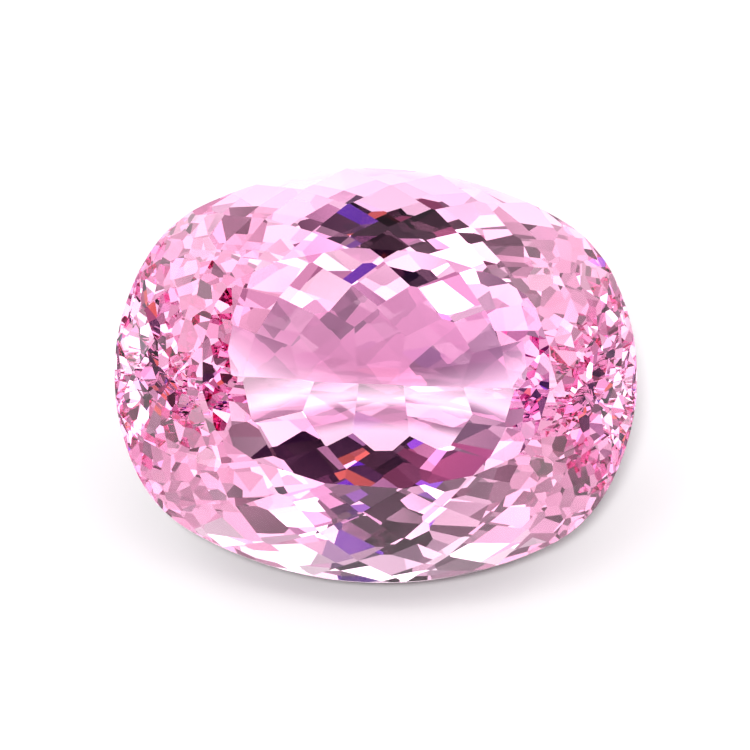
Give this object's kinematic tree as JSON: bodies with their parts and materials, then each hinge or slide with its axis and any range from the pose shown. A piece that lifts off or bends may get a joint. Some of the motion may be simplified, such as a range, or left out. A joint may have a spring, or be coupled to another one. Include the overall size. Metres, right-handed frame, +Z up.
{
  "type": "faceted kunzite gemstone",
  "caption": "Pink oval cushion-cut kunzite: a wide table, rhomb-faceted crown and a deep pavilion ending in a keel, lying on a pavilion facet.",
  "frame": {"origin": "centre of the bounding box at its bottom, the level that the stone lies on", "axes": "+X along the stone's length and its keel; +Z up; the table faces -Y and up, 41 degrees from level"},
  "size_m": [0.024, 0.0154, 0.0148],
  "materials": {
    "kunzite": "polished, see-through"
  },
  "bodies": {
    "root": {"kunzite": "kunzite"}
  },
  "joints": []
}
